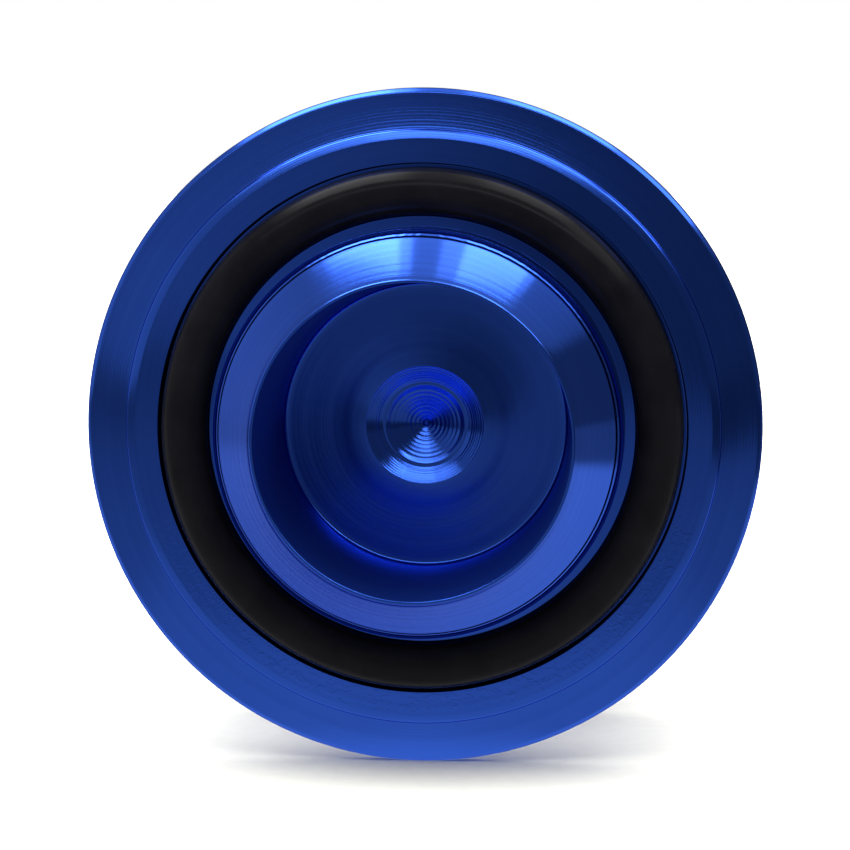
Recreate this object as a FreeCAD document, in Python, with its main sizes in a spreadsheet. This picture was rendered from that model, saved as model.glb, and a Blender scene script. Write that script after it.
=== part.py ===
import FreeCAD, Part
import os
import Sketcher

# A modern unresponsive yo yo, turned from aluminium, standing on its two rims.
# The axle lies along Y and the origin is its middle, with +Z up. The front half is on
# the -Y side. "Depth" is the distance from the middle plane, out along the axle, so
# both halves share one outline and the front one is turned half a turn about Z.

# Driving dimensions in millimetres. Every name is an alias in the sheet.
SIZES = {
    # rim and face of a half
    "rim_radius": 28.0,
    "rim_back_depth": 10.6,
    "rim_depth": 11.5,
    "rim_chamfer_radius": 27.55,
    "rim_chamfer_depth": 11.8,
    "step_foot_radius": 24.55,
    "step_foot_depth": 12.4,
    "step_top_radius": 23.85,
    "step_top_depth": 12.9,
    "seat_edge_radius": 21.88,
    "seat_edge_depth": 12.98,
    "seat_floor_depth": 11.17,
    # raised hub
    "hub_base_radius": 17.57,
    "land_edge_depth": 13.1,
    "land_foot_radius": 16.68,
    "land_foot_depth": 13.18,
    "flange_radius": 16.63,
    "flange_depth": 17.35,
    "notch_radius": 16.42,
    "notch_depth": 17.15,
    "cone_foot_radius": 15.97,
    "cone_foot_depth": 18.65,
    "cone_bend_radius": 14.54,
    "cone_bend_depth": 20.48,
    "cone_bend_fillet": 9.0,
    "lip_outer_radius": 13.2,
    "lip_outer_depth": 22.75,
    "lip_face_radius": 12.95,
    "lip_depth": 23.5,
    # cup in the hub
    "cup_mouth_radius": 12.58,
    "cup_foot_radius": 12.2,
    "cup_relief_depth": 7.8,
    "cup_relief_radius": 11.95,
    "cup_floor_depth": 8.02,
    "dome_bend_radius": 7.4,
    "dome_bend_depth": 8.3,
    "crown_radius": 4.95,
    "crown_depth": 8.75,
    "dimple_radius": 3.8,
    "dimple_depth": 8.2,
    "centre_radius": 3.1,
    "centre_rim_depth": 8.0,
    "centre_depth": 6.85,
    "cup_clearance": 0.7,
    # string side
    "inner_face_depth": 2.2,
    "wall_foot_radius": 10.2,
    "wall_bend_radius": 18.5,
    "wall_bend_depth": 7.2,
    "wall_top_radius": 27.0,
    "wall_top_depth": 10.0,
    "wall_foot_fillet": 3.0,
    "wall_bend_fillet": 12.0,
    "bearing_seat_radius": 6.65,
    "bearing_seat_depth": 2.6,
    "spacer_pocket_radius": 4.25,
    "spacer_pocket_depth": 3.2,
    "bore_radius": 2.05,
    "bore_depth": 6.15,
    "pad_recess_inner": 7.05,
    "pad_recess_outer": 9.55,
    "pad_recess_depth": 3.25,
    # loose pieces of a half
    "rubber_ring_radius": 19.56,
    "rubber_section_radius": 1.95,
    "rubber_ring_depth": 13.15,
    "pad_inner_radius": 7.1,
    "pad_outer_radius": 9.5,
    "pad_face_depth": 2.25,
    "pad_back_depth": 3.2,
    "pad_edge_fillet": 0.2,
    "spacer_post_end": 0.15,
    "spacer_post_radius": 3.125,
    "spacer_flange_face": 2.4,
    "spacer_flange_radius": 4.15,
    "spacer_back_depth": 3.15,
    # axle, a grub screw
    "axle_radius": 2.0,
    "axle_half_length": 6.0,
    "axle_end_chamfer": 0.4,
    "hex_socket_flats": 2.0,
    "hex_socket_depth": 2.2,
    # ball bearing, 1/4 x 1/2 x 3/16 inch
    "bearing_width": 4.76,
    "bearing_middle": 2.38,
    "bearing_bore_radius": 3.175,
    "bearing_outer_radius": 6.35,
    "inner_shoulder_radius": 4.2,
    "outer_shoulder_radius": 5.32,
    "ball_radius": 0.794,
    "ball_pitch_radius": 4.7625,
    "ball_track_radius": 0.83,
    "race_edge_chamfer": 0.2,
    "shield_step_radius": 5.72,
    "shield_step_depth": 0.66,
    "shield_inner_radius": 4.32,
    "shield_outer_radius": 5.68,
    "shield_back": 0.62,
    "shield_front": 0.42,
    "snap_groove_radius": 5.84,
    "snap_groove_back": 0.4,
    "snap_groove_front": 0.16,
    "snap_ring_inner": 5.42,
    "snap_ring_outer": 5.8,
    "snap_ring_back": 0.39,
    "snap_ring_front": 0.19,
    "cage_inner_radius": 4.4,
    "cage_outer_radius": 5.12,
    "cage_half_width": 1.05,
    "cage_pocket_radius": 0.84,
}
BALL_COUNT = 8
FULL_TURN = 360.0
SNAP_RING_TURN = 338.0
SIDES = ("front", "rear")
HORIZONTAL_AXIS = -1
VERTICAL_AXIS = -2
ORIGIN = (-1, 1)
AXLE_DIRECTION = FreeCAD.Rotation(FreeCAD.Vector(1, 0, 0), -90)
HALF_TURN = FreeCAD.Rotation(FreeCAD.Vector(0, 0, 1), 180)
UNTURNED = FreeCAD.Rotation()

doc = FreeCAD.newDocument("YoYo")
pieces = []


def fill_sheet():
    """Writes each driving dimension into a row of the sheet, with its name as the alias."""
    sheet = doc.addObject("Spreadsheet::Sheet", "Sizes")
    for row, (name, value) in enumerate(SIZES.items(), start=1):
        sheet.set("A%d" % row, name)
        sheet.set("B%d" % row, str(value))
        sheet.setAlias("B%d" % row, name)
    doc.recompute()


def number(words):
    """Value of a sum of sheet names, such as 'lip_depth + cup_clearance'; None is zero."""
    total = 0.0
    sign = 1
    for word in (words or "").split():
        if word in ("+", "-"):
            sign = 1 if word == "+" else -1
        else:
            total += sign * SIZES[word]
    return total


def bound(words):
    """The same sum as an expression that FreeCAD reads from the sheet."""
    return " ".join("Sizes." + word if word in SIZES else word for word in words.split())


def origin_plane(body, role):
    for feature in body.Origin.OriginFeatures:
        if feature.Role == role:
            return feature
    raise ValueError(role)


def new_sketch(body, name, role="XY_Plane"):
    sketch = body.newObject("Sketcher::SketchObject", name)
    sketch.AttachmentSupport = [(origin_plane(body, role), "")]
    sketch.MapMode = "FlatFace"
    return sketch


def fix_point(sketch, edge, end, radius, depth):
    """Ties a point to the sheet: its distance from the axle, then along the axle."""
    rules = (("DistanceX", radius, VERTICAL_AXIS), ("DistanceY", depth, HORIZONTAL_AXIS))
    for kind, words, axis in rules:
        if words is None:
            sketch.addConstraint(Sketcher.Constraint("PointOnObject", edge, end, axis))
            continue
        index = sketch.addConstraint(
            Sketcher.Constraint(kind, *ORIGIN, edge, end, number(words)))
        sketch.setExpression("Constraints[%d]" % index, bound(words))


def outline(body, name, points):
    """Closed outline of straight lines through (radius, depth) points; None is zero."""
    sketch = new_sketch(body, name)
    corners = []
    for radius, depth in points:
        corners.append(FreeCAD.Vector(number(radius), number(depth), 0))
    count = len(corners)
    for start in range(count):
        end = (start + 1) % count
        sketch.addGeometry(Part.LineSegment(corners[start], corners[end]), False)
    for start in range(count):
        end = (start + 1) % count
        sketch.addConstraint(Sketcher.Constraint("Coincident", start, 2, end, 1))
    for index, (radius, depth) in enumerate(points):
        fix_point(sketch, index, 1, radius, depth)
    return sketch


def round_outline(body, name, radius, depth, section):
    """A circle in the outline plane, such as the section of a ball track."""
    sketch = new_sketch(body, name)
    centre = FreeCAD.Vector(number(radius), number(depth), 0)
    sketch.addGeometry(Part.Circle(centre, FreeCAD.Vector(0, 0, 1), number(section)), False)
    fix_point(sketch, 0, 3, radius, depth)
    index = sketch.addConstraint(Sketcher.Constraint("Radius", 0, number(section)))
    sketch.setExpression("Constraints[%d]" % index, bound(section))
    return sketch


def turned(body, kind, name, sketch, angle=FULL_TURN):
    """Revolution or Groove of an outline about the axle."""
    before = body.Shape.Volume if body.Tip else 0.0
    feature = body.newObject("PartDesign::" + kind, name)
    feature.Profile = sketch
    feature.ReferenceAxis = (sketch, ["V_Axis"])
    feature.Angle = angle
    doc.recompute()
    if kind == "Groove" and body.Shape.Volume >= before:
        raise ValueError(body.Label + ": " + name + " cut nothing")
    return feature


def round_edges(body, name, at, fillet):
    """Fillets the circular edges that run through the given (radius, depth) points."""
    base = body.Tip
    edges = []
    for index, edge in enumerate(base.Shape.Edges, start=1):
        if not isinstance(edge.Curve, Part.Circle):
            continue
        for radius, depth in at:
            same_radius = abs(edge.Curve.Radius - number(radius)) < 1e-4
            same_depth = abs(edge.Curve.Center.y - number(depth)) < 1e-4
            if same_radius and same_depth:
                edges.append("Edge%d" % index)
    if len(edges) < len(at):
        raise ValueError(body.Label + ": no edge for " + name)
    feature = body.newObject("PartDesign::Fillet", name)
    feature.Base = (base, edges)
    feature.setExpression("Radius", bound(fillet))
    doc.recompute()
    return feature


def new_body(label):
    body = doc.addObject("PartDesign::Body", label)
    body.Label = label
    return body


def face_side(piece, side, rotation=UNTURNED):
    """Rear pieces stay as drawn; front ones are turned half a turn about Z."""
    if side == "front":
        rotation = HALF_TURN * rotation
    piece.Placement = FreeCAD.Placement(FreeCAD.Vector(), rotation)
    pieces.append(piece)


def build_half(side):
    """One turned half: weight ring, stepped face, hub with its cup, and the string side."""
    body = new_body(side + "_half")
    blank = outline(body, "blank_outline", [
        (None, "inner_face_depth"),
        ("wall_foot_radius", "inner_face_depth"),
        ("wall_bend_radius", "wall_bend_depth"),
        ("wall_top_radius", "wall_top_depth"),
        ("rim_radius", "rim_back_depth"),
        ("rim_radius", "rim_depth"),
        ("rim_chamfer_radius", "rim_chamfer_depth"),
        ("step_foot_radius", "step_foot_depth"),
        ("step_top_radius", "step_top_depth"),
        ("seat_edge_radius", "seat_edge_depth"),
        ("seat_edge_radius", "seat_floor_depth"),
        ("hub_base_radius", "seat_floor_depth"),
        ("hub_base_radius", "land_edge_depth"),
        ("land_foot_radius", "land_foot_depth"),
        ("flange_radius", "flange_depth"),
        ("notch_radius", "notch_depth"),
        ("cone_foot_radius", "cone_foot_depth"),
        ("cone_bend_radius", "cone_bend_depth"),
        ("lip_outer_radius", "lip_outer_depth"),
        ("lip_face_radius", "lip_depth"),
        (None, "lip_depth"),
    ])
    turned(body, "Revolution", "blank", blank)
    round_edges(body, "hub_cone_bend", [("cone_bend_radius", "cone_bend_depth")],
                "cone_bend_fillet")
    round_edges(body, "string_wall_bend", [("wall_bend_radius", "wall_bend_depth")],
                "wall_bend_fillet")
    round_edges(body, "string_wall_foot", [("wall_foot_radius", "inner_face_depth")],
                "wall_foot_fillet")
    cup = outline(body, "cup_outline", [
        (None, "centre_depth"),
        ("centre_radius", "centre_rim_depth"),
        ("dimple_radius", "dimple_depth"),
        ("crown_radius", "crown_depth"),
        ("dome_bend_radius", "dome_bend_depth"),
        ("cup_relief_radius", "cup_floor_depth"),
        ("cup_relief_radius", "cup_relief_depth"),
        ("cup_foot_radius", "cup_relief_depth"),
        ("cup_mouth_radius", "lip_depth"),
        ("cup_mouth_radius", "lip_depth + cup_clearance"),
        (None, "lip_depth + cup_clearance"),
    ])
    turned(body, "Groove", "cup", cup)
    seat = outline(body, "bearing_seat_outline", [
        (None, "inner_face_depth - cup_clearance"),
        ("bearing_seat_radius", "inner_face_depth - cup_clearance"),
        ("bearing_seat_radius", "bearing_seat_depth"),
        ("spacer_pocket_radius", "bearing_seat_depth"),
        ("spacer_pocket_radius", "spacer_pocket_depth"),
        ("bore_radius", "spacer_pocket_depth"),
        ("bore_radius", "bore_depth"),
        (None, "bore_depth"),
    ])
    turned(body, "Groove", "bearing_seat", seat)
    recess = outline(body, "pad_recess_outline", [
        ("pad_recess_inner", "inner_face_depth - cup_clearance"),
        ("pad_recess_outer", "inner_face_depth - cup_clearance"),
        ("pad_recess_outer", "pad_recess_depth"),
        ("pad_recess_inner", "pad_recess_depth"),
    ])
    turned(body, "Groove", "pad_recess", recess)
    face_side(body, side)


def build_rubber_ring(side):
    """Round rubber ring stretched over the foot of the hub."""
    ring = doc.addObject("Part::Torus", side + "_rubber_ring")
    ring.setExpression("Radius1", bound("rubber_ring_radius"))
    ring.setExpression("Radius2", bound("rubber_section_radius"))
    turn = HALF_TURN * AXLE_DIRECTION if side == "front" else AXLE_DIRECTION
    depth = number("rubber_ring_depth")
    centre = FreeCAD.Vector(0, -depth if side == "front" else depth, 0)
    ring.Placement = FreeCAD.Placement(centre, turn)
    pieces.append(ring)


def build_response_pad(side):
    """Flat silicone ring that grips the string when it goes slack."""
    body = new_body(side + "_response_pad")
    ring = outline(body, "pad_outline", [
        ("pad_inner_radius", "pad_face_depth"),
        ("pad_outer_radius", "pad_face_depth"),
        ("pad_outer_radius", "pad_back_depth"),
        ("pad_inner_radius", "pad_back_depth"),
    ])
    turned(body, "Revolution", "pad", ring)
    round_edges(body, "pad_edge", [
        ("pad_inner_radius", "pad_face_depth"),
        ("pad_outer_radius", "pad_face_depth"),
    ], "pad_edge_fillet")
    face_side(body, side)


def build_spacer(side):
    """Flanged sleeve that centres the bearing on the axle and spaces it off the half."""
    body = new_body(side + "_spacer")
    sleeve = outline(body, "spacer_outline", [
        ("bore_radius", "spacer_post_end"),
        ("spacer_post_radius", "spacer_post_end"),
        ("spacer_post_radius", "spacer_flange_face"),
        ("spacer_flange_radius", "spacer_flange_face"),
        ("spacer_flange_radius", "spacer_back_depth"),
        ("bore_radius", "spacer_back_depth"),
    ])
    turned(body, "Revolution", "spacer", sleeve)
    face_side(body, side)


def build_axle():
    """Grub screw with a hexagon socket in its front end."""
    rod = doc.addObject("Part::Cylinder", "axle_rod")
    rod.setExpression("Radius", bound("axle_radius"))
    rod.setExpression("Height", "2 * " + bound("axle_half_length"))
    doc.recompute()
    tapered = doc.addObject("Part::Chamfer", "axle_ends")
    tapered.Base = rod
    chamfer = number("axle_end_chamfer")
    ends = []
    for index, edge in enumerate(rod.Shape.Edges, start=1):
        if isinstance(edge.Curve, Part.Circle):
            ends.append((index, chamfer, chamfer))
    tapered.Edges = ends
    socket = doc.addObject("Part::Prism", "axle_socket")
    socket.Polygon = 6
    socket.setExpression("Circumradius", bound("hex_socket_flats") + " / 2 / cos(30 deg)")
    socket.setExpression("Height", bound("hex_socket_depth"))
    axle = doc.addObject("Part::Cut", "axle_screw")
    axle.Base = tapered
    axle.Tool = socket
    axle.Label = "axle_screw"
    front_end = FreeCAD.Vector(0, -number("axle_half_length"), 0)
    axle.Placement = FreeCAD.Placement(front_end, AXLE_DIRECTION)
    pieces.append(axle)


def centre_on_bearing(body, side="rear"):
    """Bearing pieces are drawn from one end of the bearing, so they move half its width."""
    if side == "rear":
        body.Placement = FreeCAD.Placement(FreeCAD.Vector(), HALF_TURN)
        body.setExpression("Placement.Base.y", bound("bearing_middle"))
    else:
        body.setExpression("Placement.Base.y", "0 - " + bound("bearing_middle"))
    pieces.append(body)


def cut_ball_track(body):
    track = round_outline(body, "track_outline", "ball_pitch_radius",
                          "bearing_middle", "ball_track_radius")
    turned(body, "Groove", "ball_track", track)


def build_inner_race():
    body = new_body("bearing_inner_race")
    ring = outline(body, "race_outline", [
        ("bearing_bore_radius", "race_edge_chamfer"),
        ("bearing_bore_radius + race_edge_chamfer", None),
        ("inner_shoulder_radius", None),
        ("inner_shoulder_radius", "bearing_width"),
        ("bearing_bore_radius + race_edge_chamfer", "bearing_width"),
        ("bearing_bore_radius", "bearing_width - race_edge_chamfer"),
    ])
    turned(body, "Revolution", "race", ring)
    cut_ball_track(body)
    centre_on_bearing(body)


def build_outer_race():
    """Outer ring that the string loops over, stepped at both ends for its shields."""
    body = new_body("bearing_outer_race")
    near = [
        ("shield_step_radius", None),
        ("bearing_outer_radius - race_edge_chamfer", None),
        ("bearing_outer_radius", "race_edge_chamfer"),
    ]
    far = [
        ("bearing_outer_radius", "bearing_width - race_edge_chamfer"),
        ("bearing_outer_radius - race_edge_chamfer", "bearing_width"),
        ("shield_step_radius", "bearing_width"),
    ]
    groove_far = [
        ("shield_step_radius", "bearing_width - snap_groove_front"),
        ("snap_groove_radius", "bearing_width - snap_groove_front"),
        ("snap_groove_radius", "bearing_width - snap_groove_back"),
        ("shield_step_radius", "bearing_width - snap_groove_back"),
        ("shield_step_radius", "bearing_width - shield_step_depth"),
        ("outer_shoulder_radius", "bearing_width - shield_step_depth"),
    ]
    groove_near = [
        ("outer_shoulder_radius", "shield_step_depth"),
        ("shield_step_radius", "shield_step_depth"),
        ("shield_step_radius", "snap_groove_back"),
        ("snap_groove_radius", "snap_groove_back"),
        ("snap_groove_radius", "snap_groove_front"),
        ("shield_step_radius", "snap_groove_front"),
    ]
    ring = outline(body, "race_outline", near + far + groove_far + groove_near)
    turned(body, "Revolution", "race", ring)
    cut_ball_track(body)
    centre_on_bearing(body)


def build_shield(side):
    """Thin dust shield pressed against the step of the outer race."""
    body = new_body("bearing_" + side + "_shield")
    disc = outline(body, "shield_outline", [
        ("shield_inner_radius", "shield_front"),
        ("shield_outer_radius", "shield_front"),
        ("shield_outer_radius", "shield_back"),
        ("shield_inner_radius", "shield_back"),
    ])
    turned(body, "Revolution", "shield", disc)
    centre_on_bearing(body, side)


def build_snap_ring(side):
    """Split wire ring that holds a shield in the outer race."""
    body = new_body("bearing_" + side + "_snap_ring")
    wire = outline(body, "ring_outline", [
        ("snap_ring_inner", "snap_ring_front"),
        ("snap_ring_outer", "snap_ring_front"),
        ("snap_ring_outer", "snap_ring_back"),
        ("snap_ring_inner", "snap_ring_back"),
    ])
    turned(body, "Revolution", "ring", wire, SNAP_RING_TURN)
    centre_on_bearing(body, side)


def build_cage():
    """Ring that keeps the balls evenly spaced, with one round pocket for each."""
    body = new_body("bearing_cage")
    width = "cage_half_width + cage_half_width"
    ring = outline(body, "cage_outline", [
        ("cage_inner_radius", None),
        ("cage_outer_radius", None),
        ("cage_outer_radius", width),
        ("cage_inner_radius", width),
    ])
    turned(body, "Revolution", "cage", ring)
    solid_volume = body.Shape.Volume
    sketch = new_sketch(body, "pocket_outline", "YZ_Plane")
    centre = FreeCAD.Vector(number("cage_half_width"), 0, 0)
    sketch.addGeometry(Part.Circle(centre, FreeCAD.Vector(0, 0, 1), 1.0), False)
    index = sketch.addConstraint(
        Sketcher.Constraint("DistanceX", *ORIGIN, 0, 3, number("cage_half_width")))
    sketch.setExpression("Constraints[%d]" % index, bound("cage_half_width"))
    sketch.addConstraint(Sketcher.Constraint("PointOnObject", 0, 3, HORIZONTAL_AXIS))
    index = sketch.addConstraint(
        Sketcher.Constraint("Radius", 0, number("cage_pocket_radius")))
    sketch.setExpression("Constraints[%d]" % index, bound("cage_pocket_radius"))
    pocket = body.newObject("PartDesign::Pocket", "ball_pocket")
    pocket.Profile = sketch
    pocket.Type = "ThroughAll"
    pocket.Reversed = True
    doc.recompute()
    one_pocket = solid_volume - body.Shape.Volume
    around = body.newObject("PartDesign::PolarPattern", "ball_pockets")
    around.Originals = [pocket]
    around.Axis = (origin_plane(body, "Y_Axis"), [""])
    around.Angle = FULL_TURN
    around.Occurrences = BALL_COUNT
    body.Tip = around
    doc.recompute()
    removed = solid_volume - body.Shape.Volume
    if one_pocket <= 0 or abs(removed - BALL_COUNT * one_pocket) > 0.01 * removed:
        raise ValueError("the cage's pockets are wrong")
    body.setExpression("Placement.Base.y", "0 - " + bound("cage_half_width"))
    pieces.append(body)


def build_balls():
    for index in range(BALL_COUNT):
        ball = doc.addObject("Part::Sphere", "bearing_ball_%d" % (index + 1))
        ball.setExpression("Radius", bound("ball_radius"))
        angle = "(%g deg)" % (index * FULL_TURN / BALL_COUNT)
        pitch = bound("ball_pitch_radius")
        ball.setExpression("Placement.Base.x", pitch + " * cos" + angle)
        ball.setExpression("Placement.Base.z", pitch + " * sin" + angle)
        pieces.append(ball)


def check_document():
    """Stops if any object failed or any piece is not one valid solid."""
    for item in doc.Objects:
        if "Invalid" in item.State or "Error" in item.State:
            raise ValueError(item.Label + " is " + str(item.State))
    for piece in pieces:
        shape = piece.Shape
        if shape.isNull() or not shape.isValid() or len(shape.Solids) != 1:
            raise ValueError(piece.Label + " is not one valid solid")


def write_pieces():
    os.makedirs("parts", exist_ok=True)
    for piece in pieces:
        piece.Shape.exportStep(os.path.join("parts", piece.Label + ".step"))
        print("%-26s %10.3f mm3" % (piece.Label, piece.Shape.Volume))


fill_sheet()
for name_of_side in SIDES:
    build_half(name_of_side)
    build_rubber_ring(name_of_side)
    build_response_pad(name_of_side)
    build_spacer(name_of_side)
    build_shield(name_of_side)
    build_snap_ring(name_of_side)
build_axle()
build_inner_race()
build_outer_race()
build_cage()
build_balls()
doc.recompute()
check_document()
write_pieces()
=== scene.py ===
import math

import bpy
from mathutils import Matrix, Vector


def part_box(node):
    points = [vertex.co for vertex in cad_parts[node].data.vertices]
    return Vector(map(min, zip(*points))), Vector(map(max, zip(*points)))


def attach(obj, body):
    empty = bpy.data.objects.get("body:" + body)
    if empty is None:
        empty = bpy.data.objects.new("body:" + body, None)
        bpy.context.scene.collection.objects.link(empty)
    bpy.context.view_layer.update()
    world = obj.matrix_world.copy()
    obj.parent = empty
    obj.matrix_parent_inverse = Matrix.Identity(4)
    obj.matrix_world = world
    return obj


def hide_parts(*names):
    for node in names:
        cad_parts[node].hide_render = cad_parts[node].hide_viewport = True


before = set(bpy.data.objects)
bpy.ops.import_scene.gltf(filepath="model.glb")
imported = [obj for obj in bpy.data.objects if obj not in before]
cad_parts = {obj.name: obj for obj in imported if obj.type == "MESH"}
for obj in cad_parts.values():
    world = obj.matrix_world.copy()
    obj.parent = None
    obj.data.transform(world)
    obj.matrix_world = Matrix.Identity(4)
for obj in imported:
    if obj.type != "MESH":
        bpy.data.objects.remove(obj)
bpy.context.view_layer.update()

# The yo yo's axle lies along Y with the front half on the -Y side, as in the frame.
# Outlines are in millimetres: (distance from the axle, depth from the middle plane,
# corner rounding). A turned piece is its outline swept about the axle.
MM = 0.001

# How finely the pieces are divided.
SEGMENTS = 480
SMALL_SEGMENTS = 192
ROUND_STEPS = 6
RIPPLE_POINTS = 4
TRACK_STEPS = 16
RUBBER_POINTS = 64
CONE_POINTS = 14
FACE_POINTS = 12

# Sizes that the frame gives.
RIM_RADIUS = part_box("front_half")[1].x / MM
LIP_DEPTH = -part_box("front_half")[0].y / MM
FLOOR_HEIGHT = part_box("front_half")[0].z
RUBBER_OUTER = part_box("front_rubber_ring")[1].x / MM
RUBBER_SECTION = (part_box("front_rubber_ring")[1].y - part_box("front_rubber_ring")[0].y) / 2 / MM
RUBBER_DEPTH = RUBBER_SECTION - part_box("front_rubber_ring")[1].y / MM
BEARING_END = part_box("bearing_outer_race")[1].y / MM
BEARING_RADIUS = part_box("bearing_outer_race")[1].x / MM
AXLE_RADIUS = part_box("axle_screw")[1].x / MM
AXLE_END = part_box("axle_screw")[1].y / MM

# Corners of a half's outline where a run of tool rings or a hollow starts or ends.
RIM_CHAMFER = (27.64, 11.78)
STEP_FOOT = (24.62, 12.37)
BAND_OUTSIDE = (23.84, 12.79)
BAND_INSIDE = (21.88, 12.97)
LAND_OUTSIDE = (17.57, 13.10)
LAND_INSIDE = (16.70, 13.18)
CONE_FOOT = (15.97, 18.65)
CONE_TOP = (13.06, 23.05)
DIMPLE_EDGE = (4.95, 8.70)
DIMPLE_FLOOR = (3.80, 8.20)
CENTRE_EDGE = (3.10, 8.00)
NIB_EDGE = (0.32, 6.97)
FACE_DIP = 0.03
CONE_DIP = 0.05
RUBBER_EASE = 0.012

# Where the burrs are, on the bead above the flange, and how large.
BEAD_RADIUS = (16.1, 16.4)
BEAD_DEPTH = 17.6
BURR = 0.006
WORN_BURR = 0.014
WORN_ANGLE = 1.30
WORN_SPREAD = 0.45

# Sizes of the pads and spacers.
BORE_RADIUS = 2.05
PAD_INSIDE = 7.1
PAD_OUTSIDE = 9.5
PAD_BACK = 3.2
PAD_FACE = 2.25
SLEEVE_RADIUS = 3.125
SLEEVE_START = 0.15
FLANGE_RADIUS = 4.15
FLANGE_FACE = 2.4
FLANGE_BACK = 3.15

# Sizes of the bearing.
BALL_COUNT = 8
INNER_RACE_BORE = 3.175
INNER_SHOULDER = 4.2
OUTER_SHOULDER = 5.32
BALL_PITCH = 4.7625
TRACK_SECTION = 0.83
RACE_EDGE = 0.2
SHIELD_STEP_RADIUS = 5.72
SHIELD_STEP = 0.66
SHIELD_INSIDE = 4.32
SHIELD_OUTSIDE = 5.68
SHIELD_BACK = 0.62
SHIELD_FACE = 0.42
SNAP_GROOVE_RADIUS = 5.84
SNAP_GROOVE_BACK = 0.40
SNAP_GROOVE_FACE = 0.16
SNAP_RING_INSIDE = 5.42
SNAP_RING_OUTSIDE = 5.80
SNAP_RING_BACK = 0.39
SNAP_RING_FACE = 0.19
SNAP_RING_GAP = math.radians(22)

# Sizes of the axle's thread and socket.
THREAD_PITCH = 0.7
THREAD_DEPTH = 0.4
THREAD_EASE = 0.01
THREAD_CREST = 0.2
THREAD_FLANKS = 0.62
THREAD_ROWS_A_PITCH = 14
END_TAPER = 0.4
SOCKET_FLATS = 2.0
SOCKET_DEPTH = 2.2
SOCKET_POINT = 0.35

# Parts of a half that its material treats on their own, in metres. Each pair is where a
# zone starts and where it has its full strength.
OUTER_SIDE = (0.0072, 0.0076)
CUP_WALL = ((0.0118, 0.0121), (0.0127, 0.0126))
CUP_FLOOR = ((0.0050, 0.0054), (0.0121, 0.0118))
BAND = ((0.0218, 0.0220), (0.0239, 0.0237))
BAND_SIDE = (0.0122, 0.0124)
BAND_BOTTOM = (-0.004, -0.011)
OUTER_FACE = (0.0240, 0.0246)
FEED_PITCH = 0.00026

# Camera, aimed at the front rim's widest circle from a little above and to the right.
CAMERA_DISTANCE = 0.228
CAMERA_RIGHT = math.radians(4.11)
CAMERA_ABOVE = math.radians(5.67)
AIM = Vector((0.00021, -0.0115, 0.00027))
VIEW_WIDTH = 0.07029
SENSOR_WIDTH = 36.0

# Panels that only the reflections see: name, left, right, front, back and brightness.
PANEL_HEIGHT = 0.30
PANELS = (
    ("front_left_panel", -0.340, -0.100, -0.46, -0.33, 2.4),
    ("front_panel", -0.100, 0.110, -0.46, -0.33, 3.6),
    ("front_right_panel", 0.110, 0.300, -0.46, -0.37, 6.0),
    ("front_end_panel", 0.300, 0.420, -0.46, -0.37, 2.0),
    ("side_panel", 0.230, 0.420, -0.36, 0.03, 3.2),
)

# The two panels overhead, with dimmer strips beside them: name, left, right, brightness.
OVERHEAD = (
    ("left_panel", -0.200, -0.050, 8.5),
    ("right_panel", 0.064, 0.200, 5.8),
)
OVERHEAD_FRONT = -0.17
OVERHEAD_BACK = 0.10
LEFT_SIDE_WIDTH = 0.040
LEFT_SIDE_SHARE = 0.3
RIGHT_SIDE_WIDTH = 0.022
RIGHT_SIDE_SHARE = 0.4

# Wide light that only lights the sheet and doesn't show in reflections.
SKY_PLACE = (-0.04, 0.01, 0.35)
SKY_WIDTH = 0.75
SKY_DEPTH = 0.55
SKY_RADIANCE = 3.5

# Brightness of the room in reflections, from its left to its right and from its horizon up.
WALLS = ((0.05, 0.78), (0.26, 0.46), (0.34, 0.38), (0.41, 0.30), (0.54, 0.12), (0.95, 0.18))
CEILING = ((0.40, 0.0), (0.50, 0.50), (0.74, 0.62), (0.88, 0.80), (0.95, 1.4))

# Painted glow that the reflections see in place of the lit sheet, by distance in front of the axle
# over FLOOR_REACH.
FLOOR_SIZE = 3.0
FLOOR_REACH = 0.3
PAINTED_FLOOR_GLOW = (
    (0.044, 1.15),
    (0.056, 0.76),
    (0.140, 0.60),
    (0.190, 0.43),
    (0.360, 0.37),
    (1.000, 0.30),
)


# ---------------------------------------------------------------- outlines

def ripple(start, end, count, dip):
    """Inner points of a face that the tool left in shallow rings, each sunk by up to dip."""
    points = []
    along = (end[0] - start[0], end[1] - start[1])
    length = math.hypot(*along)
    normal = (-along[1] / length, along[0] / length)
    steps = count * RIPPLE_POINTS
    for step in range(1, steps):
        part = step / steps
        ring = step // RIPPLE_POINTS
        uneven = 0.65 + 0.35 * math.sin(5.1 * ring + 1.3)
        sunk = dip * uneven * 0.5 * (1 - math.cos(2 * math.pi * step / RIPPLE_POINTS))
        points.append((start[0] + along[0] * part + normal[0] * sunk,
                       start[1] + along[1] * part + normal[1] * sunk, 0))
    return points


def hollow(start, end, dip, count):
    """Inner points of a shallow arc between two outline points, dipping in by dip."""
    points = []
    along = (end[0] - start[0], end[1] - start[1])
    length = math.hypot(*along)
    normal = (-along[1] / length, along[0] / length)
    for step in range(1, count):
        part = step / count
        sunk = 4 * dip * part * (1 - part)
        points.append((start[0] + along[0] * part + normal[0] * sunk,
                       start[1] + along[1] * part + normal[1] * sunk, 0))
    return points


def ball_track(shoulder):
    """Arc of the balls' track across a race's shoulder, from its rear edge to its front."""
    outward = math.copysign(1, shoulder - BALL_PITCH)
    reach = math.acos(abs(shoulder - BALL_PITCH) / TRACK_SECTION)
    points = []
    for step in range(TRACK_STEPS + 1):
        angle = reach * (1 - 2 * step / TRACK_STEPS)
        points.append((BALL_PITCH + outward * TRACK_SECTION * math.cos(angle),
                       TRACK_SECTION * math.sin(angle), 0))
    return points


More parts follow.
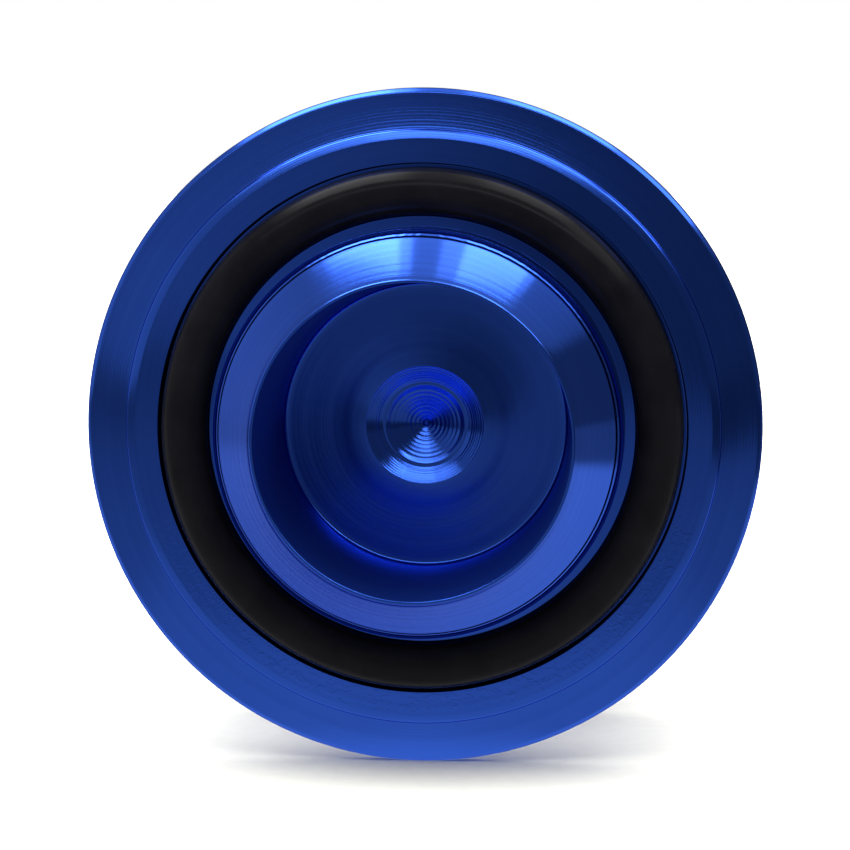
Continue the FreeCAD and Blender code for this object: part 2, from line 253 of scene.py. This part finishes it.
def rounded(corners, closed):
    """Replaces each outline corner that has a rounding by an arc."""
    points = []
    count = len(corners)
    for index, (radius, depth, rounding) in enumerate(corners):
        at_end = not closed and index in (0, count - 1)
        if rounding == 0 or at_end:
            points.append((radius, depth))
            continue
        here = Vector((radius, depth))
        before = Vector(corners[index - 1][:2]) - here
        after = Vector(corners[(index + 1) % count][:2]) - here
        reach = min(rounding, 0.45 * before.length, 0.45 * after.length)
        first = here + before.normalized() * reach
        last = here + after.normalized() * reach
        for step in range(ROUND_STEPS + 1):
            part = step / ROUND_STEPS
            bend = first * (1 - part) ** 2 + here * 2 * part * (1 - part) + last * part ** 2
            points.append((bend.x, bend.y))
    return points


# ---------------------------------------------------------------- meshes

def new_object(name, vertices, faces, smooth=True):
    mesh = bpy.data.meshes.new(name)
    mesh.from_pydata(vertices, [], faces)
    mesh.update()
    for polygon in mesh.polygons:
        polygon.use_smooth = smooth
    piece = bpy.data.objects.new(name, mesh)
    bpy.context.scene.collection.objects.link(piece)
    return piece


def turned(name, corners, closed, side=1, segments=SEGMENTS, shape=None, gap=0.0):
    """Sweeps an outline about the axle. side is -1 for the front, 1 for the rear. shape may
    change a point's radius and depth by its angle, and gap leaves the sweep open."""
    points = rounded(corners, closed)
    columns = segments + 1 if gap else segments
    vertices = []
    rings = []
    for radius, depth in points:
        if radius < 1e-6:
            rings.append([len(vertices)])
            vertices.append((0.0, side * depth * MM, 0.0))
            continue
        rings.append(list(range(len(vertices), len(vertices) + columns)))
        for column in range(columns):
            angle = gap + (2 * math.pi - gap) * column / segments
            at_radius, at_depth = shape(radius, depth, angle) if shape else (radius, depth)
            vertices.append((at_radius * math.cos(angle) * MM, side * at_depth * MM,
                             at_radius * math.sin(angle) * MM))
    pairs = list(zip(rings, rings[1:]))
    if closed:
        pairs.append((rings[-1], rings[0]))
    faces = []
    for lower, upper in pairs:
        for column in range(segments):
            ahead = (column + 1) % columns
            if len(lower) == 1:
                face = (lower[0], upper[ahead], upper[column])
            elif len(upper) == 1:
                face = (lower[column], lower[ahead], upper[0])
            else:
                face = (lower[column], lower[ahead], upper[ahead], upper[column])
            faces.append(face if side > 0 else face[::-1])
    if gap:
        start = tuple(ring[0] for ring in rings)
        end = tuple(ring[-1] for ring in rings)
        faces += [start, end[::-1]] if side > 0 else [start[::-1], end]
    return new_object(name, vertices, faces)


def finish_piece(piece, node, body, material):
    """Stands a piece in for its CAD node, on its body, with its material."""
    piece.data.materials.append(material)
    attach(piece, body)
    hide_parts(node)


# ---------------------------------------------------------------- materials

class Nodes:
    """Short calls for building one material's node tree."""

    def __init__(self, name):
        self.material = bpy.data.materials.new(name)
        self.material.use_nodes = True
        self.tree = self.material.node_tree
        self.shader = self.tree.nodes["Principled BSDF"]

    def add(self, kind, **settings):
        node = self.tree.nodes.new(kind)
        for key, value in settings.items():
            setattr(node, key, value)
        return node

    def link(self, source, target):
        self.tree.links.new(source, target)

    def math(self, operation, first, second=None):
        node = self.add("ShaderNodeMath", operation=operation)
        for socket, value in zip(node.inputs, (first, second)):
            if value is None:
                continue
            if isinstance(value, (int, float)):
                socket.default_value = value
            else:
                self.link(value, socket)
        return node.outputs[0]

    def ramp(self, source, stops):
        node = self.add("ShaderNodeValToRGB")
        elements = node.color_ramp.elements
        while len(elements) < len(stops):
            elements.new(0.5)
        for element, (position, colour) in zip(elements, stops):
            element.position = position
            element.color = (*colour, 1.0)
        self.link(source, node.inputs["Fac"])
        return node.outputs["Color"]

    def noise(self, vector, scale, detail=2.0, roughness=0.5):
        node = self.add("ShaderNodeTexNoise")
        self.link(vector, node.inputs["Vector"])
        node.inputs["Scale"].default_value = scale
        node.inputs["Detail"].default_value = detail
        node.inputs["Roughness"].default_value = roughness
        return node.outputs["Fac"]

    def bump(self, height, strength, distance, under=None):
        node = self.add("ShaderNodeBump")
        node.inputs["Strength"].default_value = strength
        node.inputs["Distance"].default_value = distance
        self.link(height, node.inputs["Height"])
        if under is not None:
            self.link(under, node.inputs["Normal"])
        return node.outputs["Normal"]

    def position(self):
        return self.add("ShaderNodeTexCoord").outputs["Object"]

    def split(self, vector):
        parts = self.add("ShaderNodeSeparateXYZ")
        self.link(vector, parts.inputs[0])
        return parts.outputs

    def length(self, first, second):
        return self.math("SQRT", self.math("ADD", self.math("MULTIPLY", first, first),
                                           self.math("MULTIPLY", second, second)))

    def between(self, value, first, last, smooth="LINEAR"):
        """Goes from 0 to 1 as the value goes from first to last."""
        node = self.add("ShaderNodeMapRange", interpolation_type=smooth)
        self.link(value, node.inputs["Value"])
        node.inputs["From Min"].default_value = first
        node.inputs["From Max"].default_value = last
        return node.outputs["Result"]

    def zone(self, value, start, end):
        """1 between two limits and 0 outside, fading as each limit's own pair says."""
        return self.math("MULTIPLY", self.between(value, *start), self.between(value, *end))

    def around_axle(self, position, spread):
        """Coordinates that barely change round the axle, so noise in them makes rings."""
        x, y, z = self.split(position)
        radius = self.length(x, z)
        turn = self.math("ARCTAN2", z, x)
        rings = self.add("ShaderNodeCombineXYZ")
        self.link(radius, rings.inputs[0])
        self.link(y, rings.inputs[1])
        self.link(self.math("MULTIPLY", self.math("SINE", turn), spread), rings.inputs[2])
        return rings.outputs[0]

    def set(self, **values):
        for key, value in values.items():
            self.shader.inputs[key.replace("_", " ")].default_value = value


def anodised_aluminium():
    """Glossy blue dyed oxide over turned metal: fine rings, and scuffs low on the band."""
    n = Nodes("anodised_aluminium")
    position = n.position()
    rings = n.around_axle(position, 0.00012)
    fine = n.noise(rings, 9000.0, 3.0, 0.6)
    coarse = n.noise(rings, 1700.0, 2.0, 0.5)
    cloud = n.noise(position, 90.0, 3.0, 0.5)
    tone = n.math("ADD", n.math("MULTIPLY", coarse, 0.6), n.math("MULTIPLY", cloud, 0.4))
    colour = n.ramp(tone, [
        (0.30, (0.021, 0.076, 0.440)),
        (0.50, (0.024, 0.084, 0.480)),
        (0.72, (0.028, 0.096, 0.530)),
    ])
    n.link(colour, n.shader.inputs["Base Color"])
    x, y, z = n.split(position)
    out = n.length(x, z)
    deep = n.math("ABSOLUTE", y)
    outside = n.between(deep, *OUTER_SIDE)
    wall = n.zone(out, *CUP_WALL)
    bored = n.zone(out, *CUP_FLOOR)
    duller = n.math("ADD", n.math("MULTIPLY", wall, 0.18), n.math("MULTIPLY", bored, 0.05))
    rough = n.math("ADD", n.math("MULTIPLY", fine, 0.09), n.math("MULTIPLY", duller, outside))
    n.link(n.math("ADD", rough, 0.10), n.shader.inputs["Roughness"])
    feed = n.math("SINE", n.math("MULTIPLY", out, 2 * math.pi / FEED_PITCH))
    grain = n.math("ADD", n.math("MULTIPLY", fine, 0.5), coarse)
    faced = n.math("MULTIPLY", n.between(out, *OUTER_FACE), 0.16)
    height = n.math("ADD", grain, n.math("MULTIPLY", feed, faced))
    face = n.math("MULTIPLY", n.zone(out, *BAND), n.between(deep, *BAND_SIDE))
    worn = n.math("MULTIPLY", n.between(z, *BAND_BOTTOM), face)
    level = n.math("ABSOLUTE", n.math("SUBTRACT", n.noise(position, 1500.0, 1.0), 0.5))
    marks = n.math("MULTIPLY", n.between(level, 0.04, 0.0), worn)
    scratches = n.bump(marks, 0.5, 0.00002)
    n.link(n.bump(height, 0.35, 0.00002, scratches), n.shader.inputs["Normal"])
    tangent = n.add("ShaderNodeTangent", direction_type="RADIAL", axis="Y")
    n.link(tangent.outputs[0], n.shader.inputs["Tangent"])
    n.set(Metallic=1.0, Specular_Tint=(0.6, 0.6, 0.7, 1.0), Anisotropic=0.5,
          Anisotropic_Rotation=0.25, Coat_Weight=0.05, Coat_Roughness=0.08)
    return n.material


def black_rubber():
    """Matt black moulded rubber with faint grain and slightly uneven tone."""
    n = Nodes("black_rubber")
    position = n.position()
    grain = n.noise(position, 5200.0, 4.0, 0.6)
    patch = n.noise(position, 260.0, 3.0, 0.6)
    colour = n.ramp(patch, [
        (0.30, (0.0035, 0.0035, 0.0050)),
        (0.70, (0.0060, 0.0060, 0.0080)),
    ])
    n.link(colour, n.shader.inputs["Base Color"])
    n.link(n.math("ADD", n.math("MULTIPLY", patch, 0.10), 0.12), n.shader.inputs["Roughness"])
    n.link(n.bump(grain, 0.25, 0.00003), n.shader.inputs["Normal"])
    n.set(Specular_IOR_Level=0.04)
    return n.material


def silicone():
    """Soft milky silicone of the string pads."""
    n = Nodes("silicone")
    position = n.position()
    grain = n.noise(position, 1600.0, 3.0, 0.5)
    colour = n.ramp(grain, [(0.35, (0.62, 0.63, 0.62)), (0.65, (0.74, 0.74, 0.72))])
    n.link(colour, n.shader.inputs["Base Color"])
    n.link(n.math("ADD", n.math("MULTIPLY", grain, 0.2), 0.4), n.shader.inputs["Roughness"])
    n.link(n.bump(grain, 0.2, 0.00003), n.shader.inputs["Normal"])
    n.set(Subsurface_Weight=0.15, Subsurface_Scale=0.001)
    return n.material


def turned_steel(name, dark, light, roughness, ring_strength):
    """Turned, ground or blackened steel, by its two tones and how deep its rings are."""
    n = Nodes(name)
    position = n.position()
    rings = n.around_axle(position, 0.0001)
    fine = n.noise(rings, 7000.0, 3.0, 0.6)
    cloud = n.noise(position, 500.0, 3.0, 0.5)
    n.link(n.ramp(cloud, [(0.3, dark), (0.7, light)]), n.shader.inputs["Base Color"])
    n.link(n.math("ADD", n.math("MULTIPLY", fine, 0.12), roughness),
           n.shader.inputs["Roughness"])
    n.link(n.bump(fine, ring_strength, 0.00001), n.shader.inputs["Normal"])
    n.set(Metallic=1.0)
    return n.material


def floor_material():
    """White sheet. The camera sees it lit. The object's reflections see a painted glow instead of
    the lit sheet:
    painted light close by and painted shade towards the front and the sides, standing in for a
    sheet in a dim room."""
    n = Nodes("floor")
    position = n.position()
    x, y, z = n.split(position)
    grain = n.noise(position, 900.0, 2.0, 0.5)
    white = n.ramp(grain, [(0.3, (0.91, 0.90, 0.82)), (0.7, (0.94, 0.93, 0.85))])
    far = n.between(n.length(x, y), 0.07, 0.25, "SMOOTHSTEP")
    n.link(white, n.shader.inputs["Base Color"])
    n.link(far, n.shader.inputs["Emission Strength"])
    n.set(Roughness=0.9, Specular_IOR_Level=0.1, Emission_Color=(1.0, 1.0, 1.0, 1.0))
    # Painted reflection: a glow that glossy rays see in place of the lit sheet, painted bright
    # close by and darker towards the front.
    painted_glow_falloff = n.ramp(n.between(y, 0.0, -FLOOR_REACH), [
        (stop, (value, value, value)) for stop, value in PAINTED_FLOOR_GLOW])
    # Painted shade on that glow towards the right and the left.
    right = n.between(x, 0.095, 0.135, "SMOOTHSTEP")
    left = n.between(x, -0.06, -0.28, "SMOOTHSTEP")
    painted_side_shade = n.math("ADD", n.math("MULTIPLY", right, 0.7), n.math("MULTIPLY", left, 0.35))
    painted_glow_strength = n.math("SUBTRACT", 1.0, painted_side_shade)
    painted_reflection_glow = n.add("ShaderNodeEmission")
    n.link(painted_glow_falloff, painted_reflection_glow.inputs["Color"])
    n.link(painted_glow_strength, painted_reflection_glow.inputs["Strength"])
    # Glossy rays see the painted glow, all other rays the lit sheet.
    path = n.add("ShaderNodeLightPath")
    mix = n.add("ShaderNodeMixShader")
    n.link(path.outputs["Is Glossy Ray"], mix.inputs[0])
    n.link(n.shader.outputs[0], mix.inputs[1])
    n.link(painted_reflection_glow.outputs[0], mix.inputs[2])
    n.link(mix.outputs[0], n.tree.nodes["Material Output"].inputs["Surface"])
    return n.material


# ---------------------------------------------------------------- pieces

def half_outline():
    """Outline of a half, from the bottom of its axle bore out round the rim to the cup."""
    string_side = [
        (0, 6.15, 0),
        (BORE_RADIUS, 6.15, 0.05),
        (BORE_RADIUS, 3.2, 0.08),
        (4.25, 3.2, 0.05),
        (4.25, 2.6, 0.08),
        (6.65, 2.6, 0.05),
        (6.65, 2.2, 0.1),
        (7.05, 2.2, 0.1),
        (7.05, 3.25, 0.05),
        (9.55, 3.25, 0.05),
        (9.55, 2.2, 0.1),
        (10.2, 2.2, 0.9),
        (18.5, 7.2, 5.5),
        (27.0, 10.0, 0.8),
    ]
    rim = [
        (RIM_RADIUS, 10.6, 0.45),
        (RIM_RADIUS, 11.5, 0.2),
        (*RIM_CHAMFER, 0.1),
    ]
    face = hollow(RIM_CHAMFER, STEP_FOOT, FACE_DIP, FACE_POINTS)
    step = [
        (*STEP_FOOT, 0.03),
        (24.50, 12.60, 0.10),
        (*BAND_OUTSIDE, 0.06),
    ]
    band = ripple(BAND_OUTSIDE, BAND_INSIDE, 8, 0.002)
    seat = [
        (*BAND_INSIDE, 0.05),
        (BAND_INSIDE[0], 11.17, 0.1),
        (LAND_OUTSIDE[0], 11.17, 0.1),
        (*LAND_OUTSIDE, 0.07),
    ]
    land = ripple(LAND_OUTSIDE, LAND_INSIDE, 4, 0.002)
    flange = [
        (*LAND_INSIDE, 0.06),
        (16.63, 17.35, 0.05),
        (16.50, 17.18, 0.04),
        (16.36, 17.34, 0.04),
        (16.28, 17.80, 0.12),
        (16.12, 17.98, 0.02),
        (16.12, 18.24, 0.02),
        (*CONE_FOOT, 0.05),
    ]
    cone = hollow(CONE_FOOT, CONE_TOP, CONE_DIP, CONE_POINTS)
    lip = [
        (*CONE_TOP, 0.12),
        (12.82, LIP_DEPTH, 0.16),
        (12.61, LIP_DEPTH, 0.04),
        (12.56, LIP_DEPTH - 0.10, 0.04),
        (12.30, 10.4, 1.0),
        (11.86, 8.08, 0.5),
    ]
    dome = [
        (11.30, 8.07, 0.0),
        (9.60, 8.10, 0.90),
        (7.50, 8.26, 0.80),
        (*DIMPLE_EDGE, 0.03),
    ]
    dimple = ripple(DIMPLE_EDGE, DIMPLE_FLOOR, 6, 0.0075) + [
        (*DIMPLE_FLOOR, 0.08),
        (3.55, 8.10, 0.08),
        (3.35, 8.11, 0.08),
        (*CENTRE_EDGE, 0.10),
    ]
    centre = ripple(CENTRE_EDGE, NIB_EDGE, 8, 0.014)
    nib = [
        (*NIB_EDGE, 0.04),
        (0.20, 6.86, 0.04),
        (0.12, 6.96, 0.04),
        (0, 7.00, 0),
    ]
    return (string_side + rim + face + step + band + seat + land + flange + cone + lip
            + dome + dimple + centre + nib)


def ragged_edge(radius, depth, angle):
    """Small burrs along the bead above the flange, larger at the top of the hub."""
    if BEAD_RADIUS[0] < radius < BEAD_RADIUS[1] and depth > BEAD_DEPTH:
        chatter = math.sin(113 * angle) * math.sin(31 * angle + 1.0)
        chatter += 0.6 * math.sin(167 * angle + 2.0) * math.sin(19 * angle)
        worn = math.exp(-((angle - WORN_ANGLE) / WORN_SPREAD) ** 2)
        radius += (BURR + WORN_BURR * worn) * chatter
    return radius, depth


def build_half(side_name, side, body, material):
    half = turned(side_name + "_half_turned", half_outline(), False, side, shape=ragged_edge)
    finish_piece(half, side_name + "_half", body, material)


def build_rubber_ring(side_name, side, body, material):
    centre = RUBBER_OUTER - RUBBER_SECTION
    section = RUBBER_SECTION - RUBBER_EASE
    corners = []
    for step in range(RUBBER_POINTS):
        angle = 2 * math.pi * step / RUBBER_POINTS
        corners.append((centre + section * math.cos(angle),
                        RUBBER_DEPTH + section * math.sin(angle), 0))
    ring = turned(side_name + "_rubber_ring_moulded", corners, True, side)
    finish_piece(ring, side_name + "_rubber_ring", body, material)


def build_response_pad(side_name, side, body, material):
    corners = [
        (PAD_INSIDE, PAD_BACK, 0.1),
        (PAD_OUTSIDE, PAD_BACK, 0.1),
        (PAD_OUTSIDE, PAD_FACE, 0.2),
        (PAD_INSIDE, PAD_FACE, 0.2),
    ]
    pad = turned(side_name + "_response_pad_cast", corners, True, side, SMALL_SEGMENTS)
    finish_piece(pad, side_name + "_response_pad", body, material)


def build_spacer(side_name, side, body, material):
    corners = [
        (BORE_RADIUS, FLANGE_BACK, 0.05),
        (FLANGE_RADIUS, FLANGE_BACK, 0.08),
        (FLANGE_RADIUS, FLANGE_FACE, 0.08),
        (SLEEVE_RADIUS, FLANGE_FACE, 0.02),
        (SLEEVE_RADIUS, SLEEVE_START, 0.15),
        (BORE_RADIUS, SLEEVE_START, 0.08),
    ]
    sleeve = turned(side_name + "_spacer_turned", corners, True, side, SMALL_SEGMENTS)
    finish_piece(sleeve, side_name + "_spacer", body, material)


def thread_and_socket(radius, depth, angle):
    """Gives the axle's outer rows their thread and end tapers, and its socket six flats."""
    if radius < AXLE_RADIUS:
        sixth = math.pi / 3
        return radius / math.cos(angle % sixth - sixth / 2), depth
    phase = (depth / THREAD_PITCH + angle / (2 * math.pi)) % 1.0
    flank = min(max((abs(2 * phase - 1) - THREAD_CREST) / THREAD_FLANKS, 0.0), 1.0)
    taper = AXLE_RADIUS - END_TAPER + (AXLE_END - abs(depth))
    return min(AXLE_RADIUS - THREAD_EASE - THREAD_DEPTH * flank, taper), depth


def build_axle(material):
    """Threaded rod, with a hexagon socket in its front end."""
    socket_floor = SOCKET_DEPTH - AXLE_END
    corners = [
        (0, socket_floor + SOCKET_POINT, 0),
        (SOCKET_FLATS / 2, socket_floor, 0),
        (SOCKET_FLATS / 2, -AXLE_END, 0),
    ]
    rows = round(2 * AXLE_END / THREAD_PITCH * THREAD_ROWS_A_PITCH)
    for row in range(rows + 1):
        corners.append((AXLE_RADIUS, AXLE_END * (2 * row / rows - 1), 0))
    corners.append((0, AXLE_END, 0))
    axle = turned("axle_screw_threaded", corners[::-1], False, 1, SMALL_SEGMENTS,
                  shape=thread_and_socket)
    finish_piece(axle, "axle_screw", "rear_body", material)


def build_inner_race(material):
    bore_edge = INNER_RACE_BORE + RACE_EDGE
    corners = [
        (INNER_RACE_BORE, RACE_EDGE - BEARING_END, 0.03),
        (INNER_RACE_BORE, BEARING_END - RACE_EDGE, 0.03),
        (bore_edge, BEARING_END, 0.03),
        (INNER_SHOULDER, BEARING_END, 0.06),
    ] + ball_track(INNER_SHOULDER) + [
        (INNER_SHOULDER, -BEARING_END, 0.06),
        (bore_edge, -BEARING_END, 0.03),
    ]
    race = turned("bearing_inner_race_ground", corners, True, 1, SMALL_SEGMENTS)
    finish_piece(race, "bearing_inner_race", "rear_body", material)


def race_end(sign):
    """Stepped end of the outer race: the shield's step and the snap ring's groove."""
    depths = [
        (OUTER_SHOULDER, SHIELD_STEP),
        (SHIELD_STEP_RADIUS, SHIELD_STEP),
        (SHIELD_STEP_RADIUS, SNAP_GROOVE_BACK),
        (SNAP_GROOVE_RADIUS, SNAP_GROOVE_BACK),
        (SNAP_GROOVE_RADIUS, SNAP_GROOVE_FACE),
        (SHIELD_STEP_RADIUS, SNAP_GROOVE_FACE),
        (SHIELD_STEP_RADIUS, 0.0),
        (BEARING_RADIUS - RACE_EDGE, 0.0),
        (BEARING_RADIUS, RACE_EDGE),
    ]
    return [(radius, sign * (BEARING_END - depth), 0.02) for radius, depth in depths]


def build_outer_race(material):
    corners = ball_track(OUTER_SHOULDER) + race_end(-1) + race_end(1)[::-1]
    race = turned("bearing_outer_race_ground", corners, True, 1, SMALL_SEGMENTS)
    finish_piece(race, "bearing_outer_race", "bearing_ring_body", material)


def build_shield(side_name, side, material):
    """Pressed dust shield with a slightly dished inner edge."""
    corners = [
        (SHIELD_INSIDE, BEARING_END - SHIELD_BACK, 0.02),
        (SHIELD_OUTSIDE, BEARING_END - SHIELD_BACK, 0.02),
        (SHIELD_OUTSIDE, BEARING_END - SHIELD_FACE, 0.04),
        (SHIELD_INSIDE + 0.40, BEARING_END - SHIELD_FACE, 0.12),
        (SHIELD_INSIDE, BEARING_END - SHIELD_FACE - 0.08, 0.04),
    ]
    shield = turned("bearing_%s_shield_pressed" % side_name, corners, True, side,
                    SMALL_SEGMENTS)
    finish_piece(shield, "bearing_%s_shield" % side_name, "bearing_ring_body",
                 material)


def build_snap_ring(side_name, side, material):
    """Split wire ring in the outer race's groove."""
    corners = [
        (SNAP_RING_INSIDE, BEARING_END - SNAP_RING_BACK, 0.05),
        (SNAP_RING_OUTSIDE, BEARING_END - SNAP_RING_BACK, 0.05),
        (SNAP_RING_OUTSIDE, BEARING_END - SNAP_RING_FACE, 0.05),
        (SNAP_RING_INSIDE, BEARING_END - SNAP_RING_FACE, 0.05),
    ]
    ring = turned("bearing_%s_snap_ring_bent" % side_name, corners, True, side,
                  SMALL_SEGMENTS, gap=SNAP_RING_GAP)
    finish_piece(ring, "bearing_%s_snap_ring" % side_name, "bearing_ring_body",
                 material)


def paint_node(node, material):
    """Gives a CAD node that keeps its own shape a better material."""
    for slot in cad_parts[node].material_slots:
        slot.material = material


# ---------------------------------------------------------------- stage

def build_floor():
    corners = [(-1, -1), (1, -1), (1, 1), (-1, 1)]
    vertices = [(x * FLOOR_SIZE, y * FLOOR_SIZE, FLOOR_HEIGHT) for x, y in corners]
    floor = new_object("floor", vertices, [(0, 1, 2, 3)], smooth=False)
    floor.data.materials.append(floor_material())


def area_light(name, place, width, depth, radiance):
    """Rectangular light of a given brightness, facing straight down."""
    light = bpy.data.lights.new(name, "AREA")
    light.shape = "RECTANGLE"
    light.size = width
    light.size_y = depth
    light.energy = radiance * math.pi * width * depth
    lamp = bpy.data.objects.new(name, light)
    lamp.location = place
    bpy.context.scene.collection.objects.link(lamp)
    return lamp


def build_lights():
    """Soft panels for the reflections, the two overhead with dimmer sides, and a wide soft
    light for the sheet."""
    panels = list(PANELS)
    for name, left, right, radiance in OVERHEAD:
        for ending, start, stop, share in (
                ("", left, right, 1.0),
                ("_left_side", left - LEFT_SIDE_WIDTH, left, LEFT_SIDE_SHARE),
                ("_right_side", right, right + RIGHT_SIDE_WIDTH, RIGHT_SIDE_SHARE)):
            panels.append((name + ending, start, stop, OVERHEAD_FRONT, OVERHEAD_BACK,
                           share * radiance))
    for name, left, right, front, back, radiance in panels:
        place = ((left + right) / 2, (front + back) / 2, PANEL_HEIGHT)
        panel = area_light(name, place, right - left, back - front, radiance)
        panel.visible_diffuse = False
    sky = area_light("sky", SKY_PLACE, SKY_WIDTH, SKY_DEPTH, SKY_RADIANCE)
    sky.visible_glossy = False


def build_world():
    """Dim room for the reflections, lighter towards the left and the ceiling, and a white
    backdrop for the camera."""
    world = bpy.data.worlds.new("room")
    world.use_nodes = True
    nodes = world.node_tree.nodes
    links = world.node_tree.links
    room = nodes["Background"]
    direction = nodes.new("ShaderNodeTexCoord")
    parts = nodes.new("ShaderNodeSeparateXYZ")
    links.new(direction.outputs["Generated"], parts.inputs[0])

    def ramp_along(axis, first, last, stops):
        part = nodes.new("ShaderNodeMapRange")
        part.inputs["From Min"].default_value = first
        part.inputs["From Max"].default_value = last
        links.new(parts.outputs[axis], part.inputs["Value"])
        ramp = nodes.new("ShaderNodeValToRGB")
        elements = ramp.color_ramp.elements
        while len(elements) < len(stops):
            elements.new(0.5)
        for element, (position, value) in zip(elements, stops):
            element.position = position
            element.color = (value, value, value, 1.0)
        links.new(part.outputs["Result"], ramp.inputs[0])
        return ramp.outputs[0]

    walls = ramp_along(0, -1.0, 1.0, WALLS)
    ceiling = ramp_along(2, 0.0, 1.0, CEILING)
    brighter = nodes.new("ShaderNodeMix")
    brighter.data_type = "RGBA"
    brighter.blend_type = "LIGHTEN"
    brighter.inputs[0].default_value = 1.0
    links.new(walls, brighter.inputs[6])
    links.new(ceiling, brighter.inputs[7])
    links.new(brighter.outputs[2], room.inputs["Color"])
    backdrop = nodes.new("ShaderNodeBackground")
    backdrop.inputs["Color"].default_value = (1.0, 1.0, 1.0, 1.0)
    path = nodes.new("ShaderNodeLightPath")
    mix = nodes.new("ShaderNodeMixShader")
    links.new(path.outputs["Is Camera Ray"], mix.inputs[0])
    links.new(room.outputs[0], mix.inputs[1])
    links.new(backdrop.outputs[0], mix.inputs[2])
    links.new(mix.outputs[0], nodes["World Output"].inputs["Surface"])
    bpy.context.scene.world = world


def build_camera():
    camera = bpy.data.cameras.new("camera")
    camera.sensor_width = SENSOR_WIDTH
    camera.lens = SENSOR_WIDTH * CAMERA_DISTANCE / VIEW_WIDTH
    holder = bpy.data.objects.new("camera", camera)
    away = Vector((math.sin(CAMERA_RIGHT) * math.cos(CAMERA_ABOVE),
                   -math.cos(CAMERA_RIGHT) * math.cos(CAMERA_ABOVE),
                   math.sin(CAMERA_ABOVE)))
    holder.location = AIM + away * CAMERA_DISTANCE
    holder.rotation_euler = (-away).to_track_quat("-Z", "Y").to_euler()
    bpy.context.scene.collection.objects.link(holder)
    bpy.context.scene.camera = holder


def build_halves():
    blue = anodised_aluminium()
    rubber = black_rubber()
    milky = silicone()
    stainless = turned_steel("turned_steel", (0.50, 0.50, 0.51), (0.62, 0.62, 0.63), 0.22, 0.4)
    for side_name, side, body, spacer_body in (
            ("front", -1, "front_body", "front_spacer_body"),
            ("rear", 1, "rear_body", "rear_body")):
        build_half(side_name, side, body, blue)
        build_rubber_ring(side_name, side, body, rubber)
        build_response_pad(side_name, side, body, milky)
        build_spacer(side_name, side, spacer_body, stainless)


def build_axle_and_bearing():
    ground = turned_steel("bearing_steel", (0.56, 0.56, 0.57), (0.68, 0.68, 0.69), 0.12, 0.25)
    spring = turned_steel("spring_steel", (0.36, 0.36, 0.37), (0.48, 0.48, 0.49), 0.28, 0.3)
    black = turned_steel("axle_steel", (0.10, 0.10, 0.11), (0.19, 0.19, 0.20), 0.30, 0.3)
    polished = turned_steel("ball_steel", (0.68, 0.68, 0.69), (0.74, 0.74, 0.75), 0.06, 0.05)
    brass = turned_steel("cage_brass", (0.52, 0.36, 0.13), (0.66, 0.48, 0.20), 0.24, 0.3)
    build_axle(black)
    build_inner_race(ground)
    build_outer_race(ground)
    for side_name, side in (("front", -1), ("rear", 1)):
        build_shield(side_name, side, ground)
        build_snap_ring(side_name, side, spring)
    paint_node("bearing_cage", brass)
    for index in range(BALL_COUNT):
        paint_node("bearing_ball_%d" % (index + 1), polished)


build_halves()
build_axle_and_bearing()
build_floor()
build_lights()
build_world()
build_camera()
bpy.context.scene.view_settings.view_transform = "Standard"
